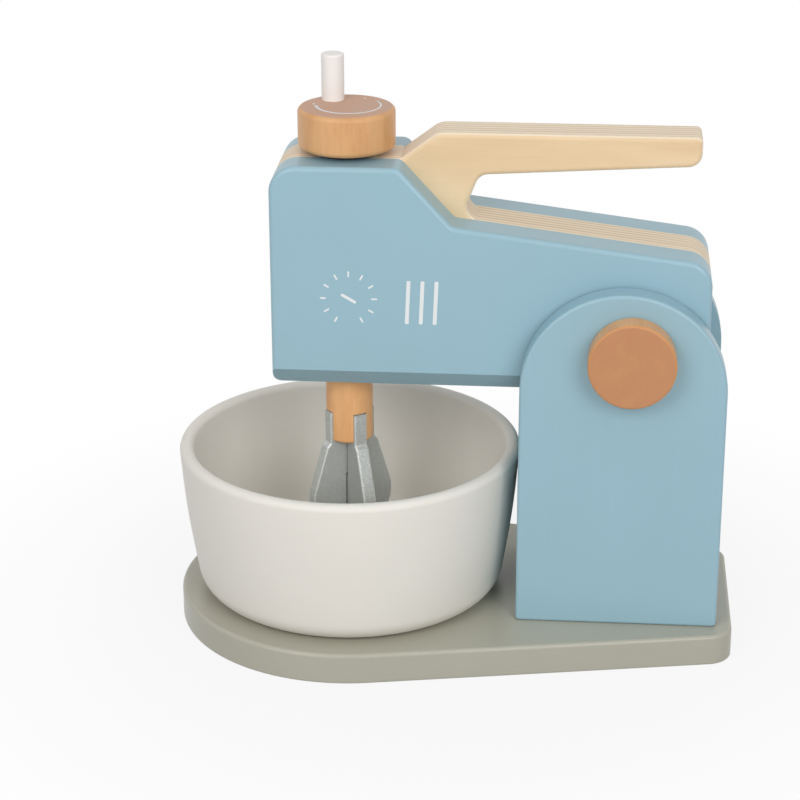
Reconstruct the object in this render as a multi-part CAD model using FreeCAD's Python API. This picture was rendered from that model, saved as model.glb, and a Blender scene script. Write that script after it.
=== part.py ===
import FreeCAD, Part
import math
import os
from FreeCAD import Vector

# A wooden toy stand mixer: a board base with two arched posts, a tilting head made of three
# boards with a hooked handle, a crank that turns a crossed-blade whisk, and a loose bowl.
# Millimetres, +Z up, the head points to -X, the origin is under the middle of the base.

# Overall layout
BASE_LENGTH = 213.0
BASE_NOSE_RADIUS = 66.0
BASE_THICKNESS = 12.0
BASE_TAPER_DEG = 11.0
BASE_CORNER_RADIUS = 10.0
WHISK_X = BASE_NOSE_RADIUS - BASE_LENGTH / 2
PIVOT_X = WHISK_X + 106.0
PIVOT_Z = 119.0

# Head: a plywood core between two painted boards
HEAD_WIDTH = 45.0
CORE_THICKNESS = 18.0
HEAD_FRONT_X = WHISK_X - 26.4
HEAD_TAIL_X = WHISK_X + 134.1
HEAD_BOTTOM = 100.2
HEAD_TOP = 184.9
HEAD_CORNER = 10.0
NOSE_CORNER = 3.0
CHAMFER_HEIGHT = 7.1
CHAMFER_DEPTH = 6.5
SHOULDER_X = WHISK_X + 20.6
SHOULDER_CORNER = 4.0
SLOPE_X = WHISK_X + 40.2
SLOPE_Z = 163.4
TAIL_TOP = 151.5

# Handle, one piece with the core
HANDLE_TOP = 194.8
HANDLE_BEND_X = WHISK_X + 33.8
HANDLE_BEND_RADIUS = 7.5
HANDLE_TIP_X = WHISK_X + 129.0
HANDLE_TIP_Z = 183.9
HANDLE_TIP_UPPER_CORNER = 2.0
HANDLE_TIP_LOWER_CORNER = 5.0
HANDLE_ROOT_X = WHISK_X + 49.0
HANDLE_ROOT_Z = 179.2
HANDLE_ROOT_CORNER = 5.0
FINGER_GAP_X = WHISK_X + 42.7
FINGER_GAP_CORNER = 5.0

# Posts and the block between them
POST_WIDTH = 75.4
POST_THICKNESS = 9.0
POST_CENTRE_X = WHISK_X + 103.2
POST_TOP = 142.8
POST_FOOT_CORNER = 1.5
HEAD_SIDE_GAP = 1.2
SPACER_TOP = 89.5

# Dowels and discs
PIVOT_DOWEL_RADIUS = 6.0
PIVOT_DISC_RADIUS = 16.0
PIVOT_DISC_THICKNESS = 9.6
PIVOT_DOWEL_DEPTH = 7.0
REST_DOWEL_RADIUS = 4.0
REST_DOWEL_DEPTH = 5.0
REST_DOWEL_INSET = 6.5
POST_DOWEL_RADIUS = 4.0
POST_DOWEL_DEPTH = 5.5
POST_DOWEL_SPREAD = 24.0
POST_DOWEL_HEIGHTS = (50.0, 76.0)
HEAD_DOWEL_RADIUS = 3.0
HEAD_DOWEL_DEPTH = 8.0
HEAD_DOWEL_PLACES = ((WHISK_X - 17, 114.0), (WHISK_X + 22, 168.0), (WHISK_X + 50, 114.0),
                     (WHISK_X + 122, 140.0))

# Crank
KNOB_RADIUS = 17.9
KNOB_BOTTOM = 186.7
KNOB_TOP = 201.9
PEG_RADIUS = 4.2
PEG_TOP = 219.1
PEG_DEPTH = 9.0
PEG_OFFSET_X = -5.9
PEG_OFFSET_Y = 9.2
WASHER_RADIUS = 12.0
WASHER_HOLE_RADIUS = 5.5
WASHER_THICKNESS = 1.7
SHAFT_RADIUS = 5.0
SHAFT_DEPTH_IN_KNOB = 10.0
SHAFT_DEPTH_IN_HOLDER = 14.0

# Whisk
HOLDER_RADIUS = 8.9
HOLDER_TOP = HEAD_BOTTOM - 0.5
HOLDER_BOTTOM = 72.0
BLADE_THICKNESS = 5.4
BLADE_ROUND_RADIUS = 16.8
BLADE_ROUND_Z = 48.2
BLADE_SHOULDER_HALF_WIDTH = 10.8
BLADE_SHOULDER_Z = 70.0
BLADE_CORNER = 0.8
TAB_HALF_WIDTH = 9.4
TAB_FOOT_Z = 71.4
TAB_TOP = 83.8
BLADE_TURN_DEG = 33.0

# Bowl
BOWL_TOP = 71.3
BOWL_RIM_RADIUS = 65.3
BOWL_WAIST_RADIUS = 63.3
BOWL_WAIST_Z = 45.0
BOWL_FOOT_RADIUS = 57.9
BOWL_WALL = 5.4
BOWL_FLOOR = 6.5
BOWL_FOOT_ROUNDING = 10.0
BOWL_INNER_ROUNDING = 8.0
BOWL_RIM_ROUNDING = 2.5

# Screws from below
SCREW_RADIUS = 2.0
SCREW_HEAD_RADIUS = 4.0
SCREW_HEAD_HEIGHT = 2.4
SCREW_LENGTH = 38.0
SCREW_POINT = 4.0
SCREW_SINK = 0.6
SCREW_SLOT_LENGTH = 4.4
SCREW_SLOT_WIDTH = 0.9
SCREW_SLOT_DEPTH = 1.2
SCREW_SPREAD_X = 22.0
SCREW_SPREAD_Y = 12.0

# Edge roundings and fits
BOARD_EDGE = 1.8
POST_EDGE = 1.2
BASE_UPPER_EDGE = 1.5
BASE_LOWER_EDGE = 1.0
HANDLE_EDGE = 1.8
DISC_EDGE = 1.0
KNOB_EDGE = 2.0
PEG_EDGE = 0.7
DOWEL_EDGE = 0.8
HOLDER_EDGE = 1.5
BLADE_EDGE = 0.8
RUNNING_CLEARANCE = 0.08
GLUE_CLEARANCE = 0.05
LAP_CLEARANCE = 0.45
TAB_END_GAP = 0.3
CUT_OVERSHOOT = 1.0

POST_INNER_Y = HEAD_WIDTH / 2 + HEAD_SIDE_GAP
POST_OUTER_Y = POST_INNER_Y + POST_THICKNESS
POST_LEFT_X = POST_CENTRE_X - POST_WIDTH / 2
POST_RIGHT_X = POST_CENTRE_X + POST_WIDTH / 2
REST_X = POST_LEFT_X + REST_DOWEL_INSET
REST_Z = HEAD_BOTTOM - REST_DOWEL_RADIUS - GLUE_CLEARANCE
BLADE_BOTTOM = BLADE_ROUND_Z - BLADE_ROUND_RADIUS
LAP_Z = (TAB_TOP + BLADE_BOTTOM) / 2
ORIGIN = Vector(0, 0, 0)
Y_AXIS = Vector(0, 1, 0)
Z_AXIS = Vector(0, 0, 1)


def toward(start, end):
    return (end - start).normalize()


def rounded_wire(corners, place):
    """A closed wire through (u, v, radius) corners, each rounded by a tangent arc."""
    points = [place(u, v) for u, v, radius in corners]
    bends = []
    for index, (u, v, radius) in enumerate(corners):
        here = points[index]
        back = toward(here, points[index - 1])
        onward = toward(here, points[(index + 1) % len(points)])
        half_angle = back.getAngle(onward) / 2
        reach = radius / math.tan(half_angle)
        middle = (back + onward).normalize()
        apex = here + middle * (radius / math.sin(half_angle) - radius)
        bends.append((here + back * reach, apex, here + onward * reach))
    edges = []
    for index, (start, apex, end) in enumerate(bends):
        following = bends[(index + 1) % len(bends)][0]
        if corners[index][2] > 0:
            edges.append(Part.Arc(start, apex, end).toShape())
        if end.distanceToPoint(following) > 1e-6:
            edges.append(Part.LineSegment(end, following).toShape())
    return Part.Wire(edges)


def standing_board(corners, start_y, end_y):
    """A board between two Y values with this outline in X and Z."""
    wire = rounded_wire(corners, lambda x, z: Vector(x, start_y, z))
    return Part.Face(wire).extrude(Vector(0, end_y - start_y, 0))


def turned(points):
    """A solid of revolution about Z from (radius, z) points."""
    wire = Part.makePolygon([Vector(radius, 0, z) for radius, z in points + points[:1]])
    return Part.Face(wire).revolve(ORIGIN, Z_AXIS, 360)


def flat_edges(shape, axis, level):
    """Every edge that lies at this level along Y or Z."""
    found = []
    for edge in shape.Edges:
        box = edge.BoundBox
        low, high = (box.YMin, box.YMax) if axis == Y_AXIS else (box.ZMin, box.ZMax)
        if abs(low - level) < 1e-4 and abs(high - level) < 1e-4:
            found.append(edge)
    return found


def upright(x, y, bottom, top, radius, edge=0):
    """A cylinder along Z, with both rims rounded by edge."""
    body = Part.makeCylinder(radius, top - bottom, Vector(x, y, bottom), Z_AXIS)
    if edge:
        body = body.makeFillet(edge, flat_edges(body, Z_AXIS, bottom) + flat_edges(body, Z_AXIS, top))
    return body


def crosswise(x, z, start_y, end_y, radius, edge=0):
    """A cylinder along Y, with both rims rounded by edge."""
    body = Part.makeCylinder(radius, end_y - start_y, Vector(x, start_y, z), Y_AXIS)
    if edge:
        body = body.makeFillet(edge, flat_edges(body, Y_AXIS, start_y) + flat_edges(body, Y_AXIS, end_y))
    return body


def cut_all(body, tools):
    return body.cut(Part.Compound(tools))


def other_side(shape):
    """The same piece mirrored to the back of the toy."""
    return shape.mirror(ORIGIN, Y_AXIS)


# Hidden dowels and screws, and the holes that they sit in
def head_dowel_cylinders(gap):
    half = CORE_THICKNESS / 2 + HEAD_DOWEL_DEPTH + gap
    edge = 0 if gap else DOWEL_EDGE
    return [crosswise(x, z, -half, half, HEAD_DOWEL_RADIUS + gap, edge)
            for x, z in HEAD_DOWEL_PLACES]


def post_dowel_cylinders(gap):
    half = POST_INNER_Y + POST_DOWEL_DEPTH + gap
    edge = 0 if gap else DOWEL_EDGE
    return [crosswise(POST_CENTRE_X + side, z, -half, half, POST_DOWEL_RADIUS + gap, edge)
            for side in (-POST_DOWEL_SPREAD, POST_DOWEL_SPREAD) for z in POST_DOWEL_HEIGHTS]


def rest_dowel_cylinder(gap):
    half = POST_INNER_Y + REST_DOWEL_DEPTH + gap
    return crosswise(REST_X, REST_Z, -half, half, REST_DOWEL_RADIUS + gap, 0 if gap else DOWEL_EDGE)


def pivot_cylinder(gap):
    half = POST_OUTER_Y + PIVOT_DOWEL_DEPTH + gap
    return crosswise(PIVOT_X, PIVOT_Z, -half, half, PIVOT_DOWEL_RADIUS + gap, 0 if gap else DOWEL_EDGE)


def screw_places():
    return [Vector(POST_CENTRE_X + side, y, 0) for side in (-SCREW_SPREAD_X, SCREW_SPREAD_X)
            for y in (-SCREW_SPREAD_Y, SCREW_SPREAD_Y)]


def base_screws():
    """Four countersunk screws with crossed slots, driven up from below."""
    head_end = SCREW_SINK + SCREW_HEAD_HEIGHT
    screw = turned([(0, SCREW_SINK), (SCREW_HEAD_RADIUS, SCREW_SINK), (SCREW_RADIUS, head_end),
                    (SCREW_RADIUS, SCREW_LENGTH - SCREW_POINT), (0, SCREW_LENGTH)])
    corner = Vector(-SCREW_SLOT_LENGTH / 2, -SCREW_SLOT_WIDTH / 2, SCREW_SINK)
    slot = Part.makeBox(SCREW_SLOT_LENGTH, SCREW_SLOT_WIDTH, SCREW_SLOT_DEPTH, corner)
    screw = cut_all(screw, [slot, slot.rotated(ORIGIN, Z_AXIS, 90)])
    return Part.Compound([screw.translated(place) for place in screw_places()])


def screw_holes():
    head_radius = SCREW_HEAD_RADIUS + GLUE_CLEARANCE
    radius = SCREW_RADIUS + GLUE_CLEARANCE
    head_end = SCREW_SINK + SCREW_HEAD_HEIGHT
    hole = turned([(0, -CUT_OVERSHOOT), (head_radius, -CUT_OVERSHOOT), (head_radius, SCREW_SINK),
                   (radius, head_end), (radius, SCREW_LENGTH), (0, SCREW_LENGTH)])
    return [hole.translated(place) for place in screw_places()]


# Base and posts
def base_board():
    """A teardrop board: a round nose under the bowl, and straight sides to a squarer tail."""
    taper = math.radians(BASE_TAPER_DEG)
    tail_x = BASE_LENGTH / 2
    side_x = WHISK_X + BASE_NOSE_RADIUS * math.sin(taper)
    side_y = BASE_NOSE_RADIUS * math.cos(taper)
    tail_y = side_y - (tail_x - side_x) * math.tan(taper)
    corners = [(side_x, -side_y, 0), (tail_x, -tail_y, BASE_CORNER_RADIUS),
               (tail_x, tail_y, BASE_CORNER_RADIUS), (side_x, side_y, 0)]
    tail = Part.Face(rounded_wire(corners, lambda x, y: Vector(x, y, 0)))
    tail = tail.extrude(Vector(0, 0, BASE_THICKNESS))
    board = tail.fuse(upright(WHISK_X, 0, 0, BASE_THICKNESS, BASE_NOSE_RADIUS)).removeSplitter()
    board = board.makeFillet(BASE_UPPER_EDGE, flat_edges(board, Z_AXIS, BASE_THICKNESS))
    board = board.makeFillet(BASE_LOWER_EDGE, flat_edges(board, Z_AXIS, 0))
    return cut_all(board, screw_holes())


def front_post():
    """An arched board with blind dowel holes inside and the pivot hole right through."""
    arch = POST_WIDTH / 2
    corners = [(POST_LEFT_X, BASE_THICKNESS, POST_FOOT_CORNER),
               (POST_RIGHT_X, BASE_THICKNESS, POST_FOOT_CORNER),
               (POST_RIGHT_X, POST_TOP, arch), (POST_LEFT_X, POST_TOP, arch)]
    post = standing_board(corners, -POST_OUTER_Y, -POST_INNER_Y)
    post = post.makeFillet(POST_EDGE, flat_edges(post, Y_AXIS, -POST_OUTER_Y))
    holes = post_dowel_cylinders(GLUE_CLEARANCE)
    return cut_all(post, holes + [rest_dowel_cylinder(GLUE_CLEARANCE), pivot_cylinder(GLUE_CLEARANCE)])


def post_spacer():
    """A solid block that joins the posts and stops the tilted head by its tail."""
    block = Part.makeBox(POST_WIDTH, 2 * POST_INNER_Y, SPACER_TOP - BASE_THICKNESS,
                         Vector(POST_LEFT_X, -POST_INNER_Y, BASE_THICKNESS))
    return cut_all(block, post_dowel_cylinders(GLUE_CLEARANCE) + screw_holes())


def front_pivot_disc():
    """A turned disc with a blind hole, glued on the end of the pivot dowel."""
    disc = crosswise(PIVOT_X, PIVOT_Z, -POST_OUTER_Y - PIVOT_DISC_THICKNESS, -POST_OUTER_Y,
                     PIVOT_DISC_RADIUS, DISC_EDGE)
    return disc.cut(pivot_cylinder(GLUE_CLEARANCE))


# Head
def head_outline():
    return [(HEAD_FRONT_X, HEAD_BOTTOM, NOSE_CORNER), (HEAD_TAIL_X, HEAD_BOTTOM, HEAD_CORNER),
            (HEAD_TAIL_X, TAIL_TOP, HEAD_CORNER), (SLOPE_X, SLOPE_Z, NOSE_CORNER),
            (SHOULDER_X, HEAD_TOP, SHOULDER_CORNER), (HEAD_FRONT_X, HEAD_TOP, HEAD_CORNER)]


def underside_wedge():
    """What comes off the front panel's lower outer edge to leave its broad chamfer."""
    start_x = HEAD_FRONT_X - CUT_OVERSHOOT
    upper = Vector(start_x, -HEAD_WIDTH / 2, HEAD_BOTTOM + CHAMFER_HEIGHT)
    lower = Vector(start_x, -HEAD_WIDTH / 2 + CHAMFER_DEPTH, HEAD_BOTTOM)
    past = toward(lower, upper) * CUT_OVERSHOOT
    upper, lower = upper + past, lower - past
    outside = Vector(start_x, upper.y, lower.z)
    face = Part.Face(Part.makePolygon([upper, lower, outside, upper]))
    return face.extrude(Vector(HEAD_TAIL_X - HEAD_FRONT_X + 2 * CUT_OVERSHOOT, 0, 0))


def head_front_panel():
    """A painted board with rounded outer edges and a broad chamfer along its underside."""
    inner_y = CORE_THICKNESS / 2
    panel = standing_board(head_outline(), -HEAD_WIDTH / 2, -inner_y)
    panel = panel.makeFillet(BOARD_EDGE, flat_edges(panel, Y_AXIS, -HEAD_WIDTH / 2))
    holes = head_dowel_cylinders(GLUE_CLEARANCE) + [pivot_cylinder(RUNNING_CLEARANCE)]
    return cut_all(panel, holes + [underside_wedge()])


def head_core():
    """The plywood core: square-edged between the panels, rounded where the handle stands free."""
    half = CORE_THICKNESS / 2
    slope = (TAIL_TOP - SLOPE_Z) / (HEAD_TAIL_X - SLOPE_X)
    finger_gap_z = SLOPE_Z + slope * (FINGER_GAP_X - SLOPE_X)
    corners = [(HEAD_FRONT_X, HEAD_BOTTOM, NOSE_CORNER), (HEAD_TAIL_X, HEAD_BOTTOM, HEAD_CORNER),
               (HEAD_TAIL_X, TAIL_TOP, HEAD_CORNER), (FINGER_GAP_X, finger_gap_z, FINGER_GAP_CORNER),
               (HANDLE_ROOT_X, HANDLE_ROOT_Z, HANDLE_ROOT_CORNER),
               (HANDLE_TIP_X, HANDLE_TIP_Z, HANDLE_TIP_LOWER_CORNER),
               (HANDLE_TIP_X, HANDLE_TOP, HANDLE_TIP_UPPER_CORNER),
               (HANDLE_BEND_X, HANDLE_TOP, HANDLE_BEND_RADIUS),
               (SHOULDER_X, HEAD_TOP, 0), (HEAD_FRONT_X, HEAD_TOP, HEAD_CORNER)]
    rounded = standing_board(corners, -half, half)
    rims = flat_edges(rounded, Y_AXIS, -half) + flat_edges(rounded, Y_AXIS, half)
    rounded = rounded.makeFillet(HANDLE_EDGE, rims)
    core = rounded.fuse(standing_board(head_outline(), -half, half)).removeSplitter()
    shaft_hole = upright(WHISK_X, 0, HEAD_BOTTOM - CUT_OVERSHOOT, HEAD_TOP + CUT_OVERSHOOT,
                         SHAFT_RADIUS + RUNNING_CLEARANCE)
    holes = head_dowel_cylinders(GLUE_CLEARANCE) + [pivot_cylinder(RUNNING_CLEARANCE), shaft_hole]
    return cut_all(core, holes)


def knob_washer():
    """A thin ring that the knob turns on."""
    ring = upright(WHISK_X, 0, HEAD_TOP, HEAD_TOP + WASHER_THICKNESS, WASHER_RADIUS)
    return ring.cut(upright(WHISK_X, 0, HEAD_TOP - CUT_OVERSHOOT, KNOB_BOTTOM, WASHER_HOLE_RADIUS))


# Crank and whisk
def crank_knob():
    """A thick disc, bored for the shaft from below and for the peg from above."""
    knob = upright(WHISK_X, 0, KNOB_BOTTOM, KNOB_TOP, KNOB_RADIUS, KNOB_EDGE)
    shaft_hole = upright(WHISK_X, 0, KNOB_BOTTOM - CUT_OVERSHOOT, KNOB_BOTTOM + SHAFT_DEPTH_IN_KNOB,
                         SHAFT_RADIUS + GLUE_CLEARANCE)
    peg_hole = upright(WHISK_X + PEG_OFFSET_X, PEG_OFFSET_Y, KNOB_TOP - PEG_DEPTH,
                       KNOB_TOP + CUT_OVERSHOOT, PEG_RADIUS + GLUE_CLEARANCE)
    return cut_all(knob, [shaft_hole, peg_hole])


def crank_peg():
    return upright(WHISK_X + PEG_OFFSET_X, PEG_OFFSET_Y, KNOB_TOP - PEG_DEPTH, PEG_TOP, PEG_RADIUS,
                   PEG_EDGE)


def drive_shaft():
    return upright(WHISK_X, 0, HOLDER_TOP - SHAFT_DEPTH_IN_HOLDER, KNOB_BOTTOM + SHAFT_DEPTH_IN_KNOB,
                   SHAFT_RADIUS, DOWEL_EDGE)


def across_whisk(half_width, bottom, top, turn, gap):
    """A box as thick as a blade plus the gap, turned about the whisk's axis."""
    width = BLADE_THICKNESS + 2 * gap
    box = Part.makeBox(2 * half_width, width, top - bottom, Vector(-half_width, -width / 2, bottom))
    return box.rotated(ORIGIN, Z_AXIS, turn).translated(Vector(WHISK_X, 0, 0))


def whisk_holder():
    """A short thick dowel, bored for the shaft and slotted crosswise for the two blades."""
    holder = upright(WHISK_X, 0, HOLDER_BOTTOM, HOLDER_TOP, HOLDER_RADIUS, HOLDER_EDGE)
    slots = [across_whisk(HOLDER_RADIUS + CUT_OVERSHOOT, HOLDER_BOTTOM - CUT_OVERSHOOT,
                          TAB_TOP + TAB_END_GAP, turn, GLUE_CLEARANCE)
             for turn in (BLADE_TURN_DEG, BLADE_TURN_DEG - 90)]
    shaft_hole = upright(WHISK_X, 0, HOLDER_TOP - SHAFT_DEPTH_IN_HOLDER, HOLDER_TOP + CUT_OVERSHOOT,
                         SHAFT_RADIUS + GLUE_CLEARANCE)
    return cut_all(holder, slots + [shaft_hole])


def blade_blank():
    """A plate along X: a tab, small shoulders, straight flared sides and a round bottom."""
    rise = BLADE_SHOULDER_Z - BLADE_ROUND_Z
    distance = math.hypot(BLADE_SHOULDER_HALF_WIDTH, rise)
    tangent = math.atan2(rise, BLADE_SHOULDER_HALF_WIDTH) - math.acos(BLADE_ROUND_RADIUS / distance)
    side_x = BLADE_ROUND_RADIUS * math.cos(tangent)
    side_z = BLADE_ROUND_Z + BLADE_ROUND_RADIUS * math.sin(tangent)
    right = [(side_x, side_z, 0), (BLADE_SHOULDER_HALF_WIDTH, BLADE_SHOULDER_Z, BLADE_CORNER),
             (TAB_HALF_WIDTH, TAB_FOOT_Z, BLADE_CORNER), (TAB_HALF_WIDTH, TAB_TOP, 0)]
    left = [(-x, z, radius) for x, z, radius in reversed(right)]
    half = BLADE_THICKNESS / 2
    upper = standing_board(right + left, -half, half)
    lower = crosswise(0, BLADE_ROUND_Z, -half, half, BLADE_ROUND_RADIUS)
    blank = upper.fuse(lower).removeSplitter()
    rims = flat_edges(blank, Y_AXIS, -half) + flat_edges(blank, Y_AXIS, half)
    return blank.makeFillet(BLADE_EDGE, rims)


def whisk_blade(turn, slot_bottom, slot_top):
    """One blade, slotted over half its height so that the other one crosses it."""
    blade = blade_blank().rotated(ORIGIN, Z_AXIS, turn).translated(Vector(WHISK_X, 0, 0))
    slot_half = BLADE_THICKNESS / 2 + LAP_CLEARANCE
    return blade.cut(across_whisk(slot_half, slot_bottom, slot_top, turn, CUT_OVERSHOOT))


# Bowl
def mixing_bowl():
    """A straight-sided bowl with a gently swelling wall, a flat foot and a round rim."""
    floor_z = BASE_THICKNESS + BOWL_FLOOR

    def at(radius, z):
        return Vector(WHISK_X + radius, 0, z)

    outer = Part.Arc(at(BOWL_FOOT_RADIUS, BASE_THICKNESS), at(BOWL_WAIST_RADIUS, BOWL_WAIST_Z),
                     at(BOWL_RIM_RADIUS, BOWL_TOP)).toShape()
    inner = Part.Arc(at(BOWL_RIM_RADIUS - BOWL_WALL, BOWL_TOP),
                     at(BOWL_WAIST_RADIUS - BOWL_WALL, BOWL_WAIST_Z),
                     at(BOWL_FOOT_RADIUS - BOWL_WALL, floor_z)).toShape()
    corners = [(0, floor_z), (0, BASE_THICKNESS), (BOWL_FOOT_RADIUS, BASE_THICKNESS)]
    bottom = Part.makePolygon([at(BOWL_FOOT_RADIUS - BOWL_WALL, floor_z)] + [at(*c) for c in corners])
    rim = Part.LineSegment(at(BOWL_RIM_RADIUS, BOWL_TOP), at(BOWL_RIM_RADIUS - BOWL_WALL, BOWL_TOP))
    wire = Part.Wire(bottom.Edges + [outer, rim.toShape(), inner])
    bowl = Part.Face(wire).revolve(at(0, 0), Z_AXIS, 360)
    bowl = bowl.makeFillet(BOWL_FOOT_ROUNDING, flat_edges(bowl, Z_AXIS, BASE_THICKNESS))
    bowl = bowl.makeFillet(BOWL_INNER_ROUNDING, flat_edges(bowl, Z_AXIS, floor_z))
    return bowl.makeFillet(BOWL_RIM_ROUNDING, flat_edges(bowl, Z_AXIS, BOWL_TOP))


def save(name, shape):
    if not shape.isValid():
        raise ValueError(name + " is not a valid shape")
    print(name, len(shape.Solids), round(shape.Volume), "mm3")
    shape.exportStep(os.path.join("parts", name + ".step"))


def main():
    os.makedirs("parts", exist_ok=True)
    save("base_board", base_board())
    save("base_screws", base_screws())
    save("front_post", front_post())
    save("rear_post", other_side(front_post()))
    save("post_spacer", post_spacer())
    save("post_dowels", Part.Compound(post_dowel_cylinders(0)))
    save("head_rest_dowel", rest_dowel_cylinder(0))
    save("pivot_dowel", pivot_cylinder(0))
    save("front_pivot_disc", front_pivot_disc())
    save("rear_pivot_disc", other_side(front_pivot_disc()))
    save("head_front_panel", head_front_panel())
    save("head_core", head_core())
    save("head_rear_panel", other_side(head_front_panel()))
    save("head_dowels", Part.Compound(head_dowel_cylinders(0)))
    save("knob_washer", knob_washer())
    save("crank_knob", crank_knob())
    save("crank_peg", crank_peg())
    save("drive_shaft", drive_shaft())
    save("whisk_holder", whisk_holder())
    save("whisk_blade_slotted_below",
         whisk_blade(BLADE_TURN_DEG, BLADE_BOTTOM - CUT_OVERSHOOT, LAP_Z + LAP_CLEARANCE))
    save("whisk_blade_slotted_above",
         whisk_blade(BLADE_TURN_DEG - 90, LAP_Z - LAP_CLEARANCE, TAB_TOP + CUT_OVERSHOOT))
    save("mixing_bowl", mixing_bowl())


main()
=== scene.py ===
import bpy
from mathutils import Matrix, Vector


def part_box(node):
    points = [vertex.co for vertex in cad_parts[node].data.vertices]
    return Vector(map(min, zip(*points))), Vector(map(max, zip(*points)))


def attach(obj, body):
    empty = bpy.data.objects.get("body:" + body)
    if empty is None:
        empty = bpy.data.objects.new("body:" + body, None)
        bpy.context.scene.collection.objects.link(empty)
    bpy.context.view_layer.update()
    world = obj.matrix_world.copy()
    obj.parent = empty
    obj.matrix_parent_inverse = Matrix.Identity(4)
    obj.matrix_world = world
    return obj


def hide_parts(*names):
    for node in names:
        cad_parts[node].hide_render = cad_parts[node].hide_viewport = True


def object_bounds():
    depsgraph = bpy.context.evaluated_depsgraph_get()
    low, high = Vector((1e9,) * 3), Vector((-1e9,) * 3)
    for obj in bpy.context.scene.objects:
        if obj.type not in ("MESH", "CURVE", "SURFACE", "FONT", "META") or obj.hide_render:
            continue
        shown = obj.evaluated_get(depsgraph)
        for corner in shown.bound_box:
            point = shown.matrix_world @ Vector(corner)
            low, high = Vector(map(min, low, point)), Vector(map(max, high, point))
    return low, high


bl_info = {
    "name": "Toy Stand Mixer",
    "version": (1, 0, 0),
    "blender": (4, 5, 0),
    "location": "3D View > Sidebar > Mixer",
    "description": "Dresses a wooden toy stand mixer in paint, plywood and beech",
    "category": "Object",
}

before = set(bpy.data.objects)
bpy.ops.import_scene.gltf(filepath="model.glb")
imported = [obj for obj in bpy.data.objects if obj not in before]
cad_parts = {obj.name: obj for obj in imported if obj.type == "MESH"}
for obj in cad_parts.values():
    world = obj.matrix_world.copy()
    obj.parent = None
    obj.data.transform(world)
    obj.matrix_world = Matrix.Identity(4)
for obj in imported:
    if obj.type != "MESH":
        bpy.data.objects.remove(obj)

import math

import bpy
from bpy.props import FloatProperty, FloatVectorProperty, IntProperty, PointerProperty
from bpy.types import Operator, Panel, PropertyGroup
from mathutils import Color, Matrix, Vector

FRAME_LOW, FRAME_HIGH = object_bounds()
BOWL_LOW, BOWL_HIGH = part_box("mixing_bowl")
KNOB_LOW, KNOB_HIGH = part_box("crank_knob")
PIVOT_LOW, PIVOT_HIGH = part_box("front_pivot_disc")
PANEL_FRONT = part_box("head_front_panel")[0].y
HALF_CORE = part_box("head_core")[1].y
WHISK_AXIS = Vector(((KNOB_LOW.x + KNOB_HIGH.x) / 2, 0, 0))
PIVOT_AXIS = (PIVOT_LOW + PIVOT_HIGH) / 2

# Lengths are in metres, as in the frame, and the patterns of the finishes are in millimetres
MM = 0.001
X, Y, Z = 0, 1, 2
QUARTER_TURN = math.pi / 2
WHITE = (1, 1, 1, 1)

# Turn of the first blade about the whisk's axis
BLADE_TURN = math.radians(33)

# Indices of the colour sockets on a Mix node
MIX_FIRST, MIX_SECOND, MIX_RESULT = 6, 7, 2


# Node trees written as expressions
class Value:
    """A socket of a node tree. Arithmetic on a number adds Math nodes to the tree."""

    def __init__(self, tree, socket):
        self.tree = tree
        self.socket = socket

    def math(self, operation, *others, clamp=False):
        settings = {"operation": operation, "use_clamp": clamp}
        return self.tree.node("ShaderNodeMath", settings, dict(enumerate((self, *others))))

    def __add__(self, other):
        return self.math("ADD", other)

    __radd__ = __add__

    def __mul__(self, other):
        return self.math("MULTIPLY", other)

    __rmul__ = __mul__

    def __sub__(self, other):
        return self.math("SUBTRACT", other)

    def __rsub__(self, other):
        return (self * -1) + other

    def __truediv__(self, other):
        return self.math("DIVIDE", other)

    def __mod__(self, other):
        return self.math("FLOORED_MODULO", other)

    def __abs__(self):
        return self.math("ABSOLUTE")

    def clamped(self):
        return self.math("ADD", 0.0, clamp=True)

    def is_index(self, index):
        """1 where this whole number is the index, and 0 elsewhere."""
        return self.math("COMPARE", index, 0.5)

    def rise(self, low, high):
        """A smooth step from 0 at low to 1 at high."""
        settings = {"interpolation_type": "SMOOTHSTEP"}
        return self.tree.node("ShaderNodeMapRange", settings, {0: self, 1: low, 2: high})

    def swing(self, width):
        """A number from 0 to 1 made one around 0, from -width / 2 to width / 2."""
        return (self - 0.5) * width

    def toward(self, other, share):
        """This number where share is 0, the other one where it is 1."""
        return self + (other - self) * share


class Tree:
    """Adds nodes to a shader or geometry tree."""

    def __init__(self, tree):
        self.tree = tree
        tree.nodes.clear()

    def node(self, kind, settings=None, values=None, output=0):
        made = self.tree.nodes.new(kind)
        for name, setting in (settings or {}).items():
            setattr(made, name, setting)
        for key, value in (values or {}).items():
            if isinstance(value, Value):
                self.tree.links.new(made.inputs[key], value.socket)
            else:
                made.inputs[key].default_value = value
        return Value(self, made.outputs[output]) if len(made.outputs) else None


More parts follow.
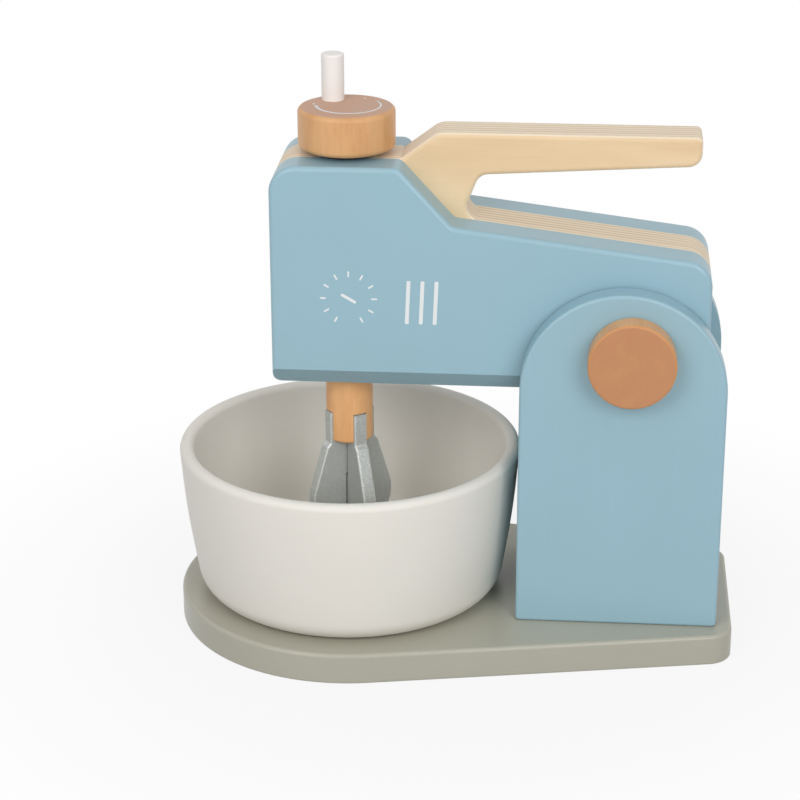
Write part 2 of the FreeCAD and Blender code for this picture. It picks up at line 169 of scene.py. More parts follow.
class Finish(Tree):
    """One material, with a pattern in millimetres on the piece's own coordinates."""

    def __init__(self, name):
        self.material = bpy.data.materials.new(name)
        self.material.use_nodes = True
        super().__init__(self.material.node_tree)
        self.coordinates = self.node("ShaderNodeTexCoord", output="Object")

    def parts(self, vector):
        """The three numbers of a vector."""
        first = self.node("ShaderNodeSeparateXYZ", values={0: vector})
        return [Value(self, socket) for socket in first.socket.node.outputs]

    def normal(self):
        """The three numbers of the direction in which the surface faces."""
        return self.parts(self.node("ShaderNodeTexCoord", output="Normal"))

    def facing(self, axis):
        """How squarely the surface faces along an axis, either way, from 0 to 1."""
        return abs(self.normal()[axis])

    def place(self, stretch=(1, 1, 1), centre=(0, 0, 0), turn=(0, 0, 0)):
        """Millimetres from a centre, turned, and drawn out along each axis by stretch."""
        moved = self.node("ShaderNodeVectorMath", {"operation": "SUBTRACT"},
                          {0: self.coordinates, 1: tuple(centre)})
        scale = tuple(1 / (MM * factor) for factor in stretch)
        turned = self.node("ShaderNodeMapping", values={"Vector": moved, "Rotation": turn})
        return self.node("ShaderNodeMapping", values={"Vector": turned, "Scale": scale})

    def noise(self, place, size, detail=2.0, roughness=0.5, distortion=0.0):
        """Soft noise from 0 to 1 whose blots are about size millimetres."""
        return self.node("ShaderNodeTexNoise", values={
            "Vector": place, "Scale": 1 / size, "Detail": detail, "Roughness": roughness,
            "Distortion": distortion})

    def flakes(self, place, size):
        """A random number for each small cell."""
        cells = self.node("ShaderNodeTexVoronoi", values={"Vector": place, "Scale": 1 / size},
                          output="Color")
        return self.parts(cells)[X]

    def mix(self, share, first, second, blend="MIX"):
        return self.node("ShaderNodeMix", {"data_type": "RGBA", "blend_type": blend},
                         {0: share, MIX_FIRST: first, MIX_SECOND: second}, MIX_RESULT)

    def shade(self, colour, amount):
        """The colour made lighter or darker by an amount around 1."""
        grey = self.node("ShaderNodeCombineColor", values={0: amount, 1: amount, 2: amount})
        return self.mix(1.0, colour, grey, "MULTIPLY")

    def surface(self, colour, roughness, height, depth, **constants):
        """Ends the tree. Depth is the bump's height in millimetres."""
        bump = self.node("ShaderNodeBump", values={
            "Strength": 1.0, "Distance": depth * MM, "Height": height})
        values = {"Base Color": colour, "Roughness": roughness, "Normal": bump}
        for name, constant in constants.items():
            values[name.replace("_", " ").title().replace("Ior", "IOR")] = constant
        shader = self.node("ShaderNodeBsdfPrincipled", values=values)
        self.node("ShaderNodeOutputMaterial", values={"Surface": shader})
        return self.material


def linear(colour):
    """A colour as it is seen, for a shader socket."""
    return (*Color(colour).from_srgb_to_scene_linear(), 1.0)


# Finishes. Sizes and depths are in millimetres, and a swing is a share of the tone or roughness
BOARD_GRAIN_STRETCH = 45.0
LATHE_RING_STRETCH = 60.0

# How squarely a surface faces along an axis, from 0 to 1, while one look gives way to the next
PLY_FACE = (0.55, 0.85)
END_GRAIN = (0.86, 0.97)
TURNED_RIM = (0.35, 0.6)
# The blade's two thresholds mark its rims and the roundings between rim and face, which get
# painted highlights
BLADE_FACE = (0.70, 0.97)
BLADE_ARRIS_HIGHLIGHT = (0.10, 0.40)


def painted_board(name, colour, satin, grain_axis):
    """Sprayed satin paint on board: faint mottling, orange peel and the grain under it."""
    finish = Finish(name)
    place = finish.place()
    drawn_out = [1.0, 1.0, 1.0]
    drawn_out[grain_axis] = BOARD_GRAIN_STRETCH
    grain = finish.noise(finish.place(stretch=drawn_out), size=0.7, detail=3)
    mottling = finish.noise(place, size=34, detail=2)
    peel = finish.noise(place, size=0.9, detail=1)
    tone = 1 + mottling.swing(0.05) + grain.swing(0.035)
    return finish.surface(
        finish.shade(linear(colour), tone),
        roughness=satin + mottling.swing(0.08) + peel.swing(0.06),
        height=peel * 0.5 + grain * 0.5, depth=0.014, specular_ior_level=0.5)


def white_lacquer(name, colour, satin, centre):
    """Matt white paint on turned wood, with the lathe's fine rings under it."""
    finish = Finish(name)
    place = finish.place(centre=centre)
    round_axis = (LATHE_RING_STRETCH, LATHE_RING_STRETCH, 1)
    rings = finish.noise(finish.place(stretch=round_axis, centre=centre), size=0.8, detail=2)
    mottling = finish.noise(place, size=22, detail=2)
    peel = finish.noise(place, size=0.7, detail=1)
    tone = 1 + mottling.swing(0.03) + rings.swing(0.012)
    return finish.surface(
        finish.shade(linear(colour), tone), roughness=satin + mottling.swing(0.08),
        height=rings * 0.5 + peel * 0.5, depth=0.012, specular_ior_level=0.45)


# Plies on the core's edges. The margin, in millimetres, keeps the core's faces inside the outer
# plies. The rest is in plies: how far their lines wander, where the brown one of each pair has
# its middle, how far from there it is fully brown, and how far from any middle the glue starts
PLY_MARGIN = 0.05
PLY_WANDER = 0.12
PLY_PAIR = 2
HALF_PLY = 0.5
BROWN_MIDDLE = 1.5
BROWN_REACH = 0.16
GLUE_START = 0.40


def birch_plywood(name, woods):
    """Long grain on the faces, and on the edges pale plies between thin brown crossed ones."""
    finish = Finish(name)
    across = finish.parts(finish.place())[Y]
    wander = finish.noise(finish.place(stretch=(60, 1, 60)), size=6, detail=1)
    inside = HALF_CORE / MM - PLY_MARGIN
    held = across.math("MINIMUM", inside).math("MAXIMUM", -inside)
    ply_thickness = 2 * HALF_CORE / MM / woods.ply_count
    depth = held / ply_thickness + woods.ply_count / 2 + wander.swing(PLY_WANDER)
    ply = depth.math("FLOOR")
    on_edge = 1 - finish.facing(Y).rise(*PLY_FACE)
    crossed = 1 - abs(depth % PLY_PAIR - BROWN_MIDDLE).rise(BROWN_REACH, HALF_PLY)
    crossed = crossed * on_edge
    glue = abs(depth - ply - HALF_PLY).rise(GLUE_START, HALF_PLY) * on_edge
    each_ply = finish.node("ShaderNodeTexWhiteNoise", {"noise_dimensions": "1D"}, {"W": ply})
    face_streaks = finish.noise(finish.place(stretch=(40, 1, 2)), size=0.6, detail=4,
                                roughness=0.6)
    edge_streaks = finish.noise(finish.place(stretch=(9, 1, 9)), size=0.5, detail=3,
                                roughness=0.6)
    streaks = face_streaks.toward(edge_streaks, on_edge)
    pores = finish.noise(finish.place(stretch=(10, 1, 1)), size=0.30, detail=2)
    pores = pores.rise(0.63, 0.72)
    clouds = finish.noise(finish.place(stretch=(7, 2, 1.4)), size=11, detail=3)
    face = finish.mix(clouds.rise(0.3, 0.7), linear(woods.birch), linear(woods.birch_dark))
    brown = each_ply * 0.55 + edge_streaks * 0.5 - 0.05
    edge = finish.mix(crossed * brown, linear(woods.birch_edge), linear(woods.birch_crossed))
    darkness = 0.08 + each_ply * 0.24
    edge = finish.mix(glue * darkness, edge, linear(woods.glue_line))
    colour = finish.mix(on_edge, face, edge)
    tone = 1 + streaks.swing(0.10) - pores * 0.07 * (1 - on_edge)
    tone = tone + each_ply.swing(0.06) * on_edge
    return finish.surface(
        finish.shade(colour, tone), roughness=0.46 + streaks.swing(0.12) + crossed * 0.08,
        height=streaks * 0.6 + (1 - crossed) * 0.4, depth=0.02, specular_ior_level=0.4)


# The turn that stands a turned piece's pattern upright, for the axis that it was turned about
UPRIGHT = {Y: (QUARTER_TURN, 0, 0), Z: (0, 0, 0)}


def turned_beech(name, woods, axis, centre, end_colour, painted_lightness=1.0, varnish=0.0):
    """Beech turned about an axis: flecks on its side, speckled ends and varnish at the rim."""
    finish = Finish(name)
    turn = UPRIGHT[axis]

    def along(stretch):
        """A place drawn out along the axis."""
        return finish.place(stretch=(1, 1, stretch), centre=centre, turn=turn)

    streaks = finish.noise(along(30), size=0.5, detail=3, roughness=0.6)
    flecks = finish.noise(along(7), size=0.35, detail=1)
    lines = finish.noise(along(25), size=1.5, detail=2)
    clouds = finish.noise(along(3), size=7, detail=3)
    speckle = finish.noise(finish.place(centre=centre), size=0.34, detail=2, roughness=0.7)
    rays = finish.noise(finish.place(stretch=(1, 6, 1), centre=centre, turn=turn),
                        size=0.5, detail=2)
    facing = finish.facing(axis)
    end_grain = facing.rise(*END_GRAIN)
    rim = facing.rise(*TURNED_RIM) * varnish
    side = finish.mix(clouds.rise(0.35, 0.75) * 0.75,
                      linear(woods.beech), linear(woods.beech_warm))
    side = finish.mix(flecks.rise(0.60, 0.74) * 0.16, side, linear(woods.beech_fleck))
    side = finish.mix(rim, side, linear(woods.varnish))
    end = finish.mix(clouds.rise(0.40, 0.72) * 0.32,
                     linear(end_colour), linear(woods.beech_warm))
    end = finish.shade(end, 0.76 + speckle * 0.42 + rays * 0.06)
    # painted_lightness is painted light: a factor on the whole colour, which makes the holder
    # paler in the head's shade
    tone = (streaks.swing(0.12) + lines.swing(0.14)) * (1 - end_grain) + painted_lightness
    return finish.surface(
        finish.shade(finish.mix(end_grain, side, end), tone),
        roughness=0.40 + end_grain * 0.10 + streaks.swing(0.1),
        height=streaks.toward(speckle, end_grain), depth=0.02, specular_ior_level=0.45)


def silver_paint(name, colour, turn):
    """Grey paint full of fine metal flakes, with painted highlights brightening the blade's
    edges.
    """
    finish = Finish(name)
    place = finish.place()
    flakes = finish.flakes(place, size=0.30)
    grit = finish.noise(place, size=0.55, detail=3, roughness=0.7)
    mottling = finish.noise(place, size=5, detail=3)
    normal = finish.normal()
    flat = abs(normal[X] * -math.sin(turn) + normal[Y] * math.cos(turn))
    rim = 1 - flat.rise(*BLADE_FACE)
    arris_highlight = flat.rise(*BLADE_ARRIS_HIGHLIGHT) * rim
    sparkle = flakes.swing(0.20) + grit.swing(0.24)
    # Painted highlight: the rims are painted 12 per cent brighter, the roundings between rim and
    # face up to 30 per cent more, and the flakes' sparkle is doubled on the rims
    tone = 1 + sparkle * (1 + rim) + mottling.swing(0.12) + rim * 0.12 + arris_highlight * 0.30
    return finish.surface(
        finish.shade(linear(colour), tone),
        roughness=0.42 + flakes.swing(0.14) + mottling.swing(0.1),
        height=grit * 0.7 + flakes * 0.3, depth=0.03, metallic=0.3)


def print_ink(name, colour):
    """Pad-printed white ink: slightly uneven cover."""
    finish = Finish(name)
    cover = finish.noise(finish.place(), size=0.5, detail=2)
    return finish.surface(
        finish.shade(linear(colour), 1 + cover.swing(0.06)), roughness=0.5 + cover.swing(0.1),
        height=cover, depth=0.004, specular_ior_level=0.4)


def pressed_felt(name, colour):
    """Dark felt with short tangled fibres."""
    finish = Finish(name)
    fibres = finish.noise(finish.place(), size=0.35, detail=4, roughness=0.7, distortion=1.5)
    return finish.surface(
        finish.shade(linear(colour), 1 + fibres.swing(0.5)), roughness=0.92 + fibres.swing(0.1),
        height=fibres, depth=0.12, sheen_weight=0.3)


def zinc_plate(name, colour):
    """Zinc-plated steel with faint turning marks."""
    finish = Finish(name)
    marks = finish.noise(finish.place(stretch=(1, 1, 0.2)), size=0.5, detail=3)
    return finish.surface(
        finish.shade(linear(colour), 1 + marks.swing(0.15)), roughness=0.32 + marks.swing(0.2),
        height=marks, depth=0.006, metallic=1.0)


def dress(material, *nodes):
    """Gives nodes of the frame their material."""
    for node in nodes:
        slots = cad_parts[node].data.materials
        slots.clear()
        slots.append(material)


# Geometry trees. A section is spun on a path of this radius, and moved in by as much, so that
# it still ends on its axis
SPIN_PATH = 0.05
MERGE_DISTANCE = 0.001 * MM

# Points on each rounding, and the rounding of a capsule's corners as a share of its width
SECTION_STEPS = 10
CAPSULE_STEPS = 8
CAPSULE_ROUNDING = 0.33


class Shape(Tree):
    """A geometry tree with named size inputs."""

    def __init__(self, name):
        group = bpy.data.node_groups.new(name, "GeometryNodeTree")
        super().__init__(group)
        group.interface.new_socket("Geometry", in_out="OUTPUT", socket_type="NodeSocketGeometry")
        self.entry = group.nodes.new("NodeGroupInput")
        self.values = {}

    def size(self, name, value, kind="NodeSocketFloat"):
        """A named input of the tree, with the value that the modifier will give it."""
        made = self.tree.interface.new_socket(name, in_out="INPUT", socket_type=kind)
        self.values[made.identifier] = value
        return Value(self, self.entry.outputs[made.identifier])

    def vector(self, x=0.0, y=0.0, z=0.0):
        return self.node("ShaderNodeCombineXYZ", values={0: x, 1: y, 2: z})

    def join(self, *parts):
        join = self.node("GeometryNodeJoinGeometry")
        for part in parts:
            self.tree.links.new(join.socket.node.inputs[0], part.socket)
        return join

    def moved(self, geometry, x=0.0, y=0.0, z=0.0, turn=(0, 0, 0)):
        return self.node("GeometryNodeTransform", values={
            "Geometry": geometry, "Translation": (x, y, z), "Rotation": turn})

    def listed(self, numbers):
        """For each point, the number that stands at its index in the list."""
        index = self.node("GeometryNodeInputIndex")
        total = 0
        for place, number in enumerate(numbers):
            total = index.is_index(place) * number + total
        return total

    def section(self, corners, steps):
        """A line through (outward, upward, rounding) corners, in X and in -Y."""
        outward, upward, rounding = (self.listed(numbers) for numbers in zip(*corners))
        line = self.node("GeometryNodeMeshLine", {"mode": "OFFSET"}, {"Count": len(corners)})
        line = self.node("GeometryNodeSetPosition", values={
            "Geometry": line, "Position": self.vector(outward, upward * -1)})
        line = self.node("GeometryNodeMeshToCurve", values={"Mesh": line})
        return self.node("GeometryNodeFilletCurve", {"mode": "POLY"}, {
            "Curve": line, "Count": steps, "Radius": rounding, "Limit Radius": True})

    def spun(self, section, steps):
        """A section turned once round the Z axis, and closed where it meets the axis."""
        path = self.node("GeometryNodeCurvePrimitiveCircle", {"mode": "RADIUS"}, {
            "Resolution": steps, "Radius": SPIN_PATH})
        skin = self.node("GeometryNodeCurveToMesh", values={
            "Curve": path, "Profile Curve": self.moved(section, -SPIN_PATH)})
        return self.node("GeometryNodeMergeByDistance", values={
            "Geometry": skin, "Distance": MERGE_DISTANCE})

    def prism(self, outline, thickness):
        """A flat outline in X and Y with a thickness along Z, closed on both sides."""
        path = self.node("GeometryNodeCurvePrimitiveLine", values={1: self.vector(z=thickness)})
        return self.node("GeometryNodeCurveToMesh", values={
            "Curve": path, "Profile Curve": outline, "Fill Caps": True})

    def capsule(self, width, length, thickness):
        """A bar with rounded ends, along Y."""
        outline = self.node("GeometryNodeCurvePrimitiveQuadrilateral", values={
            "Width": width, "Height": length})
        outline = self.node("GeometryNodeFilletCurve", {"mode": "POLY"}, {
            "Curve": outline, "Count": CAPSULE_STEPS, "Radius": width * CAPSULE_ROUNDING})
        return self.prism(outline, thickness)

    def piece(self, name, geometry, material):
        """Bakes the tree into a plain mesh object of this name."""
        real = self.node("GeometryNodeRealizeInstances", values={"Geometry": geometry})
        real = self.node("GeometryNodeSetMaterial", values={
            "Geometry": real, "Material": material})
        self.node("NodeGroupOutput", values={0: real})
        made = bpy.data.objects.new(name, bpy.data.meshes.new(name + "_empty"))
        bpy.context.scene.collection.objects.link(made)
        modifier = made.modifiers.new("Shape", "NODES")
        modifier.node_group = self.tree
        for identifier, value in self.values.items():
            modifier[identifier] = value
        bpy.context.view_layer.update()
        evaluated = made.evaluated_get(bpy.context.evaluated_depsgraph_get())
        mesh = bpy.data.meshes.new_from_object(evaluated)
        mesh.name = name
        made.modifiers.remove(modifier)
        made.data = mesh
        return made


# Sizes and colours that a user would change
class MIXER_PG_paints(PropertyGroup):
    """Paint and print colours"""

    blue: FloatVectorProperty(
        name="Blue paint", description="Paint of the head's panels and of the posts",
        default=(0.588, 0.724, 0.777), subtype="COLOR_GAMMA", min=0, max=1)
    grey: FloatVectorProperty(
        name="Grey paint", description="Paint of the base board",
        default=(0.68, 0.672, 0.615), subtype="COLOR_GAMMA", min=0, max=1)
    white: FloatVectorProperty(
        name="White paint", description="Paint of the bowl",
        default=(0.905, 0.890, 0.858), subtype="COLOR_GAMMA", min=0, max=1)
    peg_white: FloatVectorProperty(
        name="Peg white", description="Paint of the crank's peg",
        default=(0.945, 0.93, 0.915), subtype="COLOR_GAMMA", min=0, max=1)
    silver: FloatVectorProperty(
        name="Silver paint", description="Paint of the whisk's blades",
        default=(0.725, 0.738, 0.728), subtype="COLOR_GAMMA", min=0, max=1)
    ink: FloatVectorProperty(
        name="Print", description="White ink of the printed marks",
        default=(0.895, 0.91, 0.915), subtype="COLOR_GAMMA", min=0, max=1)
    felt: FloatVectorProperty(
        name="Felt", description="Washer under the knob",
        default=(0.2, 0.22, 0.24), subtype="COLOR_GAMMA", min=0, max=1)
    zinc: FloatVectorProperty(
        name="Zinc", description="Screws under the base",
        default=(0.72, 0.73, 0.74), subtype="COLOR_GAMMA", min=0, max=1)
    satin: FloatProperty(
        name="Satin", description="Roughness of the boards' paint, from 0, gloss, to 1, matt",
        default=0.33, min=0.05, max=1, subtype="FACTOR")
    peg_satin: FloatProperty(
        name="Peg satin", description="Roughness of the peg's paint, in the same measure",
        default=0.38, min=0.05, max=1, subtype="FACTOR")
    bowl_satin: FloatProperty(
        name="Bowl satin", description="Roughness of the bowl's paint, in the same measure",
        default=0.5, min=0.05, max=1, subtype="FACTOR")


class MIXER_PG_woods(PropertyGroup):
    """Bare wood colours and plies"""

    birch: FloatVectorProperty(
        name="Birch", description="Light tone of the plywood",
        default=(0.925, 0.82, 0.67), subtype="COLOR_GAMMA", min=0, max=1)
    birch_dark: FloatVectorProperty(
        name="Birch shade", description="Darker clouds in the plywood",
        default=(0.89, 0.775, 0.615), subtype="COLOR_GAMMA", min=0, max=1)
    birch_edge: FloatVectorProperty(
        name="Birch edge", description="Pale plies on the plywood's edges",
        default=(0.955, 0.895, 0.795), subtype="COLOR_GAMMA", min=0, max=1)
    birch_crossed: FloatVectorProperty(
        name="Birch, crossed", description="Brown crossed plies on the plywood's edges",
        default=(0.80, 0.645, 0.48), subtype="COLOR_GAMMA", min=0, max=1)
    glue_line: FloatVectorProperty(
        name="Glue line", description="Thin dark lines between the plies",
        default=(0.66, 0.49, 0.35), subtype="COLOR_GAMMA", min=0, max=1)
    beech: FloatVectorProperty(
        name="Beech", description="Long grain of the turned pieces",
        default=(0.865, 0.665, 0.462), subtype="COLOR_GAMMA", min=0, max=1)
    beech_warm: FloatVectorProperty(
        name="Beech, warm", description="Redder clouds in the turned pieces",
        default=(0.80, 0.58, 0.375), subtype="COLOR_GAMMA", min=0, max=1)
    beech_fleck: FloatVectorProperty(
        name="Beech flecks", description="Short dark flecks in the long grain",
        default=(0.66, 0.46, 0.30), subtype="COLOR_GAMMA", min=0, max=1)
    beech_end: FloatVectorProperty(
        name="Beech, end grain", description="End grain of the pivot discs",
        default=(0.745, 0.525, 0.365), subtype="COLOR_GAMMA", min=0, max=1)
    # Painted sheen: end grain of the knob's top, painted paler and greyer than on the discs,
    # standing in for the white surroundings reflected at a grazing angle
    beech_top_sheen: FloatVectorProperty(
        name="Beech, knob's top", description="End grain of the knob, paler than on the discs",
        default=(0.775, 0.62, 0.53), subtype="COLOR_GAMMA", min=0, max=1)
    varnish: FloatVectorProperty(
        name="Varnish", description="Orange varnish round the rims of the pivot discs",
        default=(0.80, 0.53, 0.30), subtype="COLOR_GAMMA", min=0, max=1)
    varnish_cover: FloatProperty(
        name="Varnish cover", description="How far the varnish hides the wood under it",
        default=0.8, min=0, max=1, subtype="FACTOR")
    # Painted light: the whisk's holder sits in the head's shade, and its wood is painted this
    # much paler to make up for it
    holder_painted_lightness: FloatProperty(
        name="Holder lightness", description="How much paler the whisk's holder is than the knob",
        default=1.22, min=0.5, max=1.5, subtype="FACTOR")
    ply_count: IntProperty(
        name="Plies", description="Number of layers in the plywood core",
        default=13, min=3, max=21)


class MIXER_PG_marks(PropertyGroup):
    """Sizes of the printed marks"""

    film: FloatProperty(
        name="Ink thickness", description="How far the ink stands proud",
        default=0.05 * MM, min=0, unit="LENGTH")
    bar_count: IntProperty(
        name="Bars", description="Number of printed bars on the head", default=3, min=1, max=12)
    bar_width: FloatProperty(
        name="Bar width", description="Width of one printed bar",
        default=1.43 * MM, min=0, unit="LENGTH")
    bar_length: FloatProperty(
        name="Bar length", description="Length of one printed bar",
        default=16.7 * MM, min=0, unit="LENGTH")
    bar_pitch: FloatProperty(
        name="Bar pitch", description="Distance from one bar to the next",
        default=5.1 * MM, min=0, unit="LENGTH")
    bar_lean: FloatProperty(
        name="Bar lean", description="How far the bars lean towards the tail",
        default=math.radians(2.4), subtype="ANGLE", unit="ROTATION")
    scale_radius: FloatProperty(
        name="Scale radius", description="Outer radius of the plain round scale on the head",
        default=10.5 * MM, min=0, unit="LENGTH")
    scale_ticks: IntProperty(
        name="Scale ticks", description="Number of ticks of the round scale",
        default=11, min=2, max=60)
    dial_radius: FloatProperty(
        name="Dial radius", description="Radius of the arc on the knob",
        default=11.8 * MM, min=0, unit="LENGTH")
    dial_width: FloatProperty(
        name="Dial width", description="Width of the arc at its broad end",
        default=1.2 * MM, min=0, unit="LENGTH")


class MIXER_PG_bowl(PropertyGroup):
    """Sizes of the turned bowl"""

    rim_radius: FloatProperty(
        name="Rim radius", description="Outer radius where the wall would meet the top",
        default=65.3 * MM, min=0, unit="LENGTH")
    foot_radius: FloatProperty(
        name="Foot radius", description="Outer radius where the wall would meet the base",
        default=57.9 * MM, min=0, unit="LENGTH")
    waist_radius: FloatProperty(
        name="Waist radius", description="Outer radius at the waist's height",
        default=63.3 * MM, min=0, unit="LENGTH")
    waist_height: FloatProperty(
        name="Waist height", description="Height of the waist above the foot",
        default=33.0 * MM, min=0, unit="LENGTH")
    swell: FloatProperty(
        name="Swell", description="Radius of the wall's slow bend at the waist",
        default=340.0 * MM, min=0, unit="LENGTH")
    wall: FloatProperty(
        name="Wall", description="Thickness of the wall",
        default=5.4 * MM, min=0, unit="LENGTH")
    floor: FloatProperty(
        name="Floor", description="Thickness of the floor",
        default=6.5 * MM, min=0, unit="LENGTH")
    foot_rounding: FloatProperty(
        name="Foot rounding", description="Rounding from the wall to the foot",
        default=10.0 * MM, min=0, unit="LENGTH")
    inner_rounding: FloatProperty(
        name="Inner rounding", description="Rounding from the wall to the floor inside",
        default=8.0 * MM, min=0, unit="LENGTH")
    lip_rounding: FloatProperty(
        name="Lip rounding", description="Rounding of the lip's two edges",
        default=2.5 * MM, min=0, unit="LENGTH")
    steps: IntProperty(
        name="Steps", description="Number of steps round the bowl", default=192, min=16, max=512)


class MIXER_PG_stage(PropertyGroup):
    """Camera, lamps and floor"""

    lens: FloatProperty(
        name="Lens", description="Focal length for a 36 mm sensor",
        default=106.34, min=10, max=400, unit="CAMERA")
    camera_place: FloatVectorProperty(
        name="Camera place", description="Where the camera stands",
        default=(0.04842, -0.83205, 0.42243), subtype="TRANSLATION", unit="LENGTH")
    camera_turn: FloatVectorProperty(
        name="Camera turn", description="Turn to the left, tilt down and roll of the camera",
        default=(math.radians(4.783), math.radians(21.871), math.radians(-0.122)),
        subtype="EULER", unit="ROTATION")
    ambient: FloatProperty(
        name="Ambient", description="Light from all around, where 1 alone is the plain level",
        default=0.46, min=0, max=2)
    left: FloatProperty(
        name="Left", description="Light from the softbox in front on the left, likewise",
        default=0.312, min=0, max=2)
    right: FloatProperty(
        name="Right", description="Light from the softbox in front on the right, likewise",
        default=0.345, min=0, max=2)
    top: FloatProperty(
        name="Top", description="Light from the softbox overhead, likewise",
        default=0.06, min=0, max=2)
    floor_size: FloatProperty(
        name="Floor size", description="Radius of the floor", default=9.0, min=1, unit="LENGTH")


# Pieces
class MIXER_OT_stand(Operator):
    """Paint the base board and the two posts, and finish what joins them"""

    bl_idname = "mixer.stand"
    bl_label = "Stand"

    def execute(self, context):
        paints, woods = context.scene.mixer_paints, context.scene.mixer_woods
        dress(painted_board("grey_board_paint", paints.grey, paints.satin, X), "base_board")
        dress(painted_board("blue_post_paint", paints.blue, paints.satin, Z),
              "front_post", "rear_post", "post_spacer")
        dress(zinc_plate("zinc_plate", paints.zinc), "base_screws")
        dress(turned_beech("beech_crosswise", woods, Y, PIVOT_AXIS, woods.beech_end,
                           varnish=woods.varnish_cover),
              "post_dowels", "head_rest_dowel", "pivot_dowel", "front_pivot_disc",
              "rear_pivot_disc")
        return {"FINISHED"}


class MIXER_OT_head(Operator):
    """Paint the head's two panels and finish its plywood core with the handle"""

    bl_idname = "mixer.head"
    bl_label = "Head"

    def execute(self, context):
        paints, woods = context.scene.mixer_paints, context.scene.mixer_woods
        dress(painted_board("blue_head_paint", paints.blue, paints.satin, X),
              "head_front_panel", "head_rear_panel")
        dress(birch_plywood("birch_plywood", woods), "head_core")
        dress(turned_beech("beech_head_dowels", woods, Y, WHISK_AXIS, woods.beech_end),
              "head_dowels")
        dress(pressed_felt("pressed_felt", paints.felt), "knob_washer")
        return {"FINISHED"}


class MIXER_OT_crank(Operator):
    """Finish the beech knob, its white peg, the shaft and the whisk holder"""

    bl_idname = "mixer.crank"
    bl_label = "Crank"

    def execute(self, context):
        paints, woods = context.scene.mixer_paints, context.scene.mixer_woods
        # The knob's top takes the paler end grain, a painted sheen
        dress(turned_beech("beech_upright", woods, Z, WHISK_AXIS, woods.beech_top_sheen),
              "crank_knob", "drive_shaft")
        # The holder's beech is painted paler: painted light in place of the shade under the head
        dress(turned_beech("beech_holder", woods, Z, WHISK_AXIS, woods.beech_end,
                           painted_lightness=woods.holder_painted_lightness),
              "whisk_holder")
        dress(white_lacquer("peg_lacquer", paints.peg_white, paints.peg_satin, WHISK_AXIS),
              "crank_peg")
        return {"FINISHED"}


class MIXER_OT_whisk(Operator):
    """Give the crossed blades their silver paint"""

    bl_idname = "mixer.whisk"
    bl_label = "Whisk blades"

    def execute(self, context):
        silver = context.scene.mixer_paints.silver
        dress(silver_paint("silver_paint_one", silver, BLADE_TURN), "whisk_blade_slotted_below")
        dress(silver_paint("silver_paint_two", silver, BLADE_TURN - QUARTER_TURN),
              "whisk_blade_slotted_above")
        return {"FINISHED"}


class MIXER_OT_bowl(Operator):
    """Turn the bowl from its section and paint it"""

    bl_idname = "mixer.bowl"
    bl_label = "Bowl"

    def execute(self, context):
        paints = context.scene.mixer_paints
        lacquer = white_lacquer("bowl_lacquer", paints.white, paints.bowl_satin, WHISK_AXIS)
        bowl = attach(spun_bowl(context.scene.mixer_bowl, lacquer), "bowl")
        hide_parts("mixing_bowl")
        return {"FINISHED"}


def spun_bowl(bowl, lacquer):
    """A wall that swells gently from a rounded foot to a round lip."""
    shape = Shape("Spun Bowl")
    rim = shape.size("Rim Radius", bowl.rim_radius)
    top = shape.size("Height", BOWL_HIGH.z - BOWL_LOW.z)
    foot = shape.size("Foot Radius", bowl.foot_radius)
    waist = shape.size("Waist Radius", bowl.waist_radius)
    waist_up = shape.size("Waist Height", bowl.waist_height)
    swell = shape.size("Swell", bowl.swell)
    wall = shape.size("Wall", bowl.wall)
    floor = shape.size("Floor", bowl.floor)
    foot_rounding = shape.size("Foot Rounding", bowl.foot_rounding)
    inner_rounding = shape.size("Inner Rounding", bowl.inner_rounding)
    lip = shape.size("Lip Rounding", bowl.lip_rounding)
    steps = shape.size("Steps", bowl.steps, "NodeSocketInt")
    corners = [(0, floor, 0), (foot - wall, floor, inner_rounding),
               (waist - wall, waist_up, swell), (rim - wall, top, lip), (rim, top, lip),
               (waist, waist_up, swell), (foot, 0, foot_rounding), (0, 0, 0)]
    skin = shape.spun(shape.section(corners, SECTION_STEPS), steps)
    skin = shape.node("GeometryNodeSetShadeSmooth", values={"Geometry": skin})
    return shape.piece("spun_bowl", shape.moved(skin, WHISK_AXIS.x, 0, BOWL_LOW.z), lacquer)


# Printed marks. Places and sizes are in millimetres: those on the head from the whisk's axis
# and from the floor, those on the knob from its middle. A dot's place is its angle in degrees
# and its distance
BARS_CENTRE_X = 29.15
BARS_CENTRE_Z = 134.65
SCALE_CENTRE_X = 2.4
SCALE_CENTRE_Z = 135.6
SCALE_SWEEP_DEG = 300.0
TICK_LENGTH = 2.2
TICK_WIDTH = 0.65
POINTER_LENGTH = 6.2
POINTER_WIDTH = 1.1
POINTER_TURN_DEG = 60.0
DIAL_CENTRE_X = 0.7
DIAL_CENTRE_Y = 0.9
DIAL_START_DEG = 187.0
DIAL_SWEEP_DEG = 208.0
DIAL_THIN_SHARE = 0.48
DIAL_STEPS = 72
DOT_PLACES = ((62.6, 12.4), (172.5, 12.3))
DOT_RADIUS = 0.5
DOT_STEPS = 24


class MIXER_OT_marks(Operator):
    """Print the bars and the plain round scale on the head and the dial arc on the knob"""

    bl_idname = "mixer.marks"
    bl_label = "Printed marks"

    def execute(self, context):
        marks = context.scene.mixer_marks
        ink = print_ink("white_ink", context.scene.mixer_paints.ink)
        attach(printed_bars(marks, ink), "head")
        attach(printed_scale(marks, ink), "head")
        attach(knob_dial(marks, ink), "whisk")
        return {"FINISHED"}


def on_panel(shape, geometry, x, z):
    """Stands flat work up against the head's front panel."""
    return shape.moved(geometry, WHISK_AXIS.x + x * MM, PANEL_FRONT, z * MM,
                       turn=(QUARTER_TURN, 0, 0))


